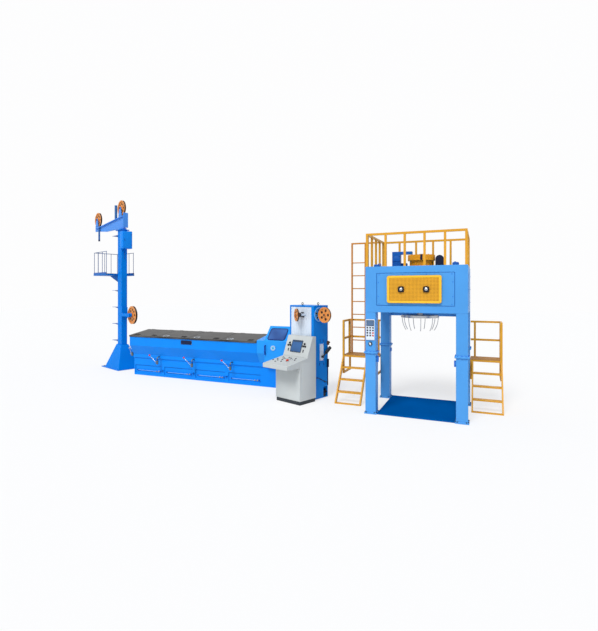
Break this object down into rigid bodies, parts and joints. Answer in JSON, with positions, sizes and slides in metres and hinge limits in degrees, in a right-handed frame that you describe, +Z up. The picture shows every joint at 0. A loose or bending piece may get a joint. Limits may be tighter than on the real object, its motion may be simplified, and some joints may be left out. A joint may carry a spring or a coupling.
{
  "type": "wire drawing machine",
  "caption": "Wire drawing line: pay-off mast with swinging jib, long lidded drawing tank with hood, dancer cabinet, control console and portal coiler with stairs and roof rail.",
  "frame": {"origin": "on the floor under the drawing tank, on the tank's centre line and near the middle of its length", "axes": "+X along the line from the pay-off mast to the coiler, +Y away from the operator's side, +Z up"},
  "size_m": [15.4435, 3.9303, 6.3593],
  "materials": {
    "machine_blue": "glossy blue machine paint",
    "gantry_blue": "satin light blue machine paint",
    "wheel_orange": "satin orange paint",
    "rail_orange": "satin orange-yellow paint",
    "cover_yellow": "satin yellow paint",
    "lid_grey": "dark oiled steel plate",
    "bright_steel": "ground steel",
    "dark_steel": "dark satin paint",
    "dark_plate": "dark blue bare plate",
    "valve_brass": "dull nickel plated",
    "lever_steel": "plated steel with a red ball",
    "window_glass": "dark tinted pane",
    "fitting_grey": "grey blue satin",
    "bright_panel": "brushed stainless panel",
    "plinth_grey": "dark grey powder coat",
    "console_grey": "light grey textured powder coat",
    "screen_glass": "blue-grey display",
    "ring_steel": "bright steel"
  },
  "bodies": {
    "line": {"tower_base": "machine_blue", "tower_mast": "machine_blue", "tower_steps": "machine_blue", "tower_platform": "machine_blue", "tower_railing": "machine_blue", "tower_box": "machine_blue", "tower_wheel_arm": "machine_blue", "machine_base": "machine_blue", "hatch_covers": "machine_blue", "tank_side_walls": "machine_blue", "tank_partitions": "machine_blue", "drawing_capstans": "bright_steel", "die_holders": "bright_steel", "lid_hinges": "dark_steel", "nameplate": "dark_plate", "valve_bodies": "valve_brass", "hood": "machine_blue", "hood_window": "window_glass", "hood_fittings": "fitting_grey", "dancer_cabinet": "machine_blue", "dancer_panels": "bright_panel", "cabinet_fittings": "dark_steel", "cabinet_actuators": "dark_steel", "console_plinth": "plinth_grey", "console_body": "console_grey", "console_desk": "console_grey", "console_screen": "screen_glass", "gantry_front_columns": "gantry_blue", "gantry_back_columns": "gantry_blue", "gantry_head": "gantry_blue", "gantry_floor": "gantry_blue", "gantry_cover": "cover_yellow", "operator_panel": "bright_panel", "roof_railing": "rail_orange", "roof_drum": "rail_orange", "roof_drive": "dark_steel", "roof_arm": "gantry_blue", "roof_ladder": "rail_orange", "side_platforms": "rail_orange", "side_platform_rails": "rail_orange", "side_stairs": "rail_orange"},
    "jib": {"jib_beam": "machine_blue", "jib_forks": "machine_blue", "jib_post_and_guide": "machine_blue"},
    "root_wheel": {"jib_root_wheel": "wheel_orange"},
    "tip_wheel": {"jib_tip_wheel": "wheel_orange"},
    "low_wheel": {"tower_low_wheel": "wheel_orange"},
    "front_wheel": {"dancer_front_wheel": "wheel_orange"},
    "side_wheel": {"dancer_side_wheel": "wheel_orange"},
    "rotor": {"laying_ring": "ring_steel", "laying_fingers": "ring_steel"},
    "lid_body_1": {"lid_1": "lid_grey"},
    "lid_body_2": {"lid_2": "lid_grey"},
    "lid_body_3": {"lid_3": "lid_grey"},
    "lid_body_4": {"lid_4": "lid_grey"},
    "lever_1": {"valve_lever_1": "lever_steel"},
    "lever_2": {"valve_lever_2": "lever_steel"},
    "lever_3": {"valve_lever_3": "lever_steel"},
    "lever_4": {"valve_lever_4": "lever_steel"}
  },
  "joints": [
    {"name": "jib_swing", "type": "hinge", "parent": "line", "child": "jib", "pos_m": [-4.214, 0.215, 5.2], "axis": [0, 0, 1], "range_deg": [-60, 60]},
    {"name": "root_wheel_spin", "type": "hinge", "parent": "jib", "child": "root_wheel", "pos_m": [-4.27038, 0.23552, 6.05937], "axis": [0.342, 0.9397, 0], "continuous": true},
    {"name": "tip_wheel_spin", "type": "hinge", "parent": "jib", "child": "tip_wheel", "pos_m": [-6.28132, 0.96744, 5.84791], "axis": [0.342, 0.9397, 0], "continuous": true},
    {"name": "low_wheel_spin", "type": "hinge", "parent": "line", "child": "low_wheel", "pos_m": [-3.44345, -0.06546, 2.01], "axis": [0.342, 0.9397, 0], "continuous": true},
    {"name": "front_wheel_spin", "type": "hinge", "parent": "line", "child": "front_wheel", "pos_m": [3.84235, -1.6969, 2.246], "axis": [0.7547, 0.6561, 0], "continuous": true},
    {"name": "side_wheel_spin", "type": "hinge", "parent": "line", "child": "side_wheel", "pos_m": [4.62529, -1.66261, 2.26], "axis": [0.342, 0.9397, 0], "continuous": true},
    {"name": "rotor_spin", "type": "hinge", "parent": "line", "child": "rotor", "pos_m": [6.9975, -1.3475, 2.387], "axis": [0, 0, 1], "continuous": true},
    {"name": "lid_1_hinge", "type": "hinge", "parent": "line", "child": "lid_body_1", "pos_m": [-2.1135, 0.00842, 1.49596], "axis": [-1, 0, 0], "range_deg": [0, 75]},
    {"name": "lid_2_hinge", "type": "hinge", "parent": "line", "child": "lid_body_2", "pos_m": [-0.8785, 0.00842, 1.49596], "axis": [-1, 0, 0], "range_deg": [0, 75]},
    {"name": "lid_3_hinge", "type": "hinge", "parent": "line", "child": "lid_body_3", "pos_m": [0.3565, 0.00842, 1.49596], "axis": [-1, 0, 0], "range_deg": [0, 75]},
    {"name": "lid_4_hinge", "type": "hinge", "parent": "line", "child": "lid_body_4", "pos_m": [1.5915, 0.00842, 1.49596], "axis": [-1, 0, 0], "range_deg": [0, 75]},
    {"name": "valve_1_turn", "type": "hinge", "parent": "line", "child": "lever_1", "pos_m": [-1.57892, -0.932, 0.51245], "axis": [0, 1, 0], "range_deg": [-60, 30]},
    {"name": "valve_2_turn", "type": "hinge", "parent": "line", "child": "lever_2", "pos_m": [-0.17102, -0.932, 0.51245], "axis": [0, 1, 0], "range_deg": [-60, 30]},
    {"name": "valve_3_turn", "type": "hinge", "parent": "line", "child": "lever_3", "pos_m": [1.26652, -0.932, 0.51245], "axis": [0, 1, 0], "range_deg": [-60, 30]},
    {"name": "valve_4_turn", "type": "hinge", "parent": "line", "child": "lever_4", "pos_m": [-2.942, -0.64, 0.6925], "axis": [-1, 0, 0], "range_deg": [-60, 30]}
  ]
}
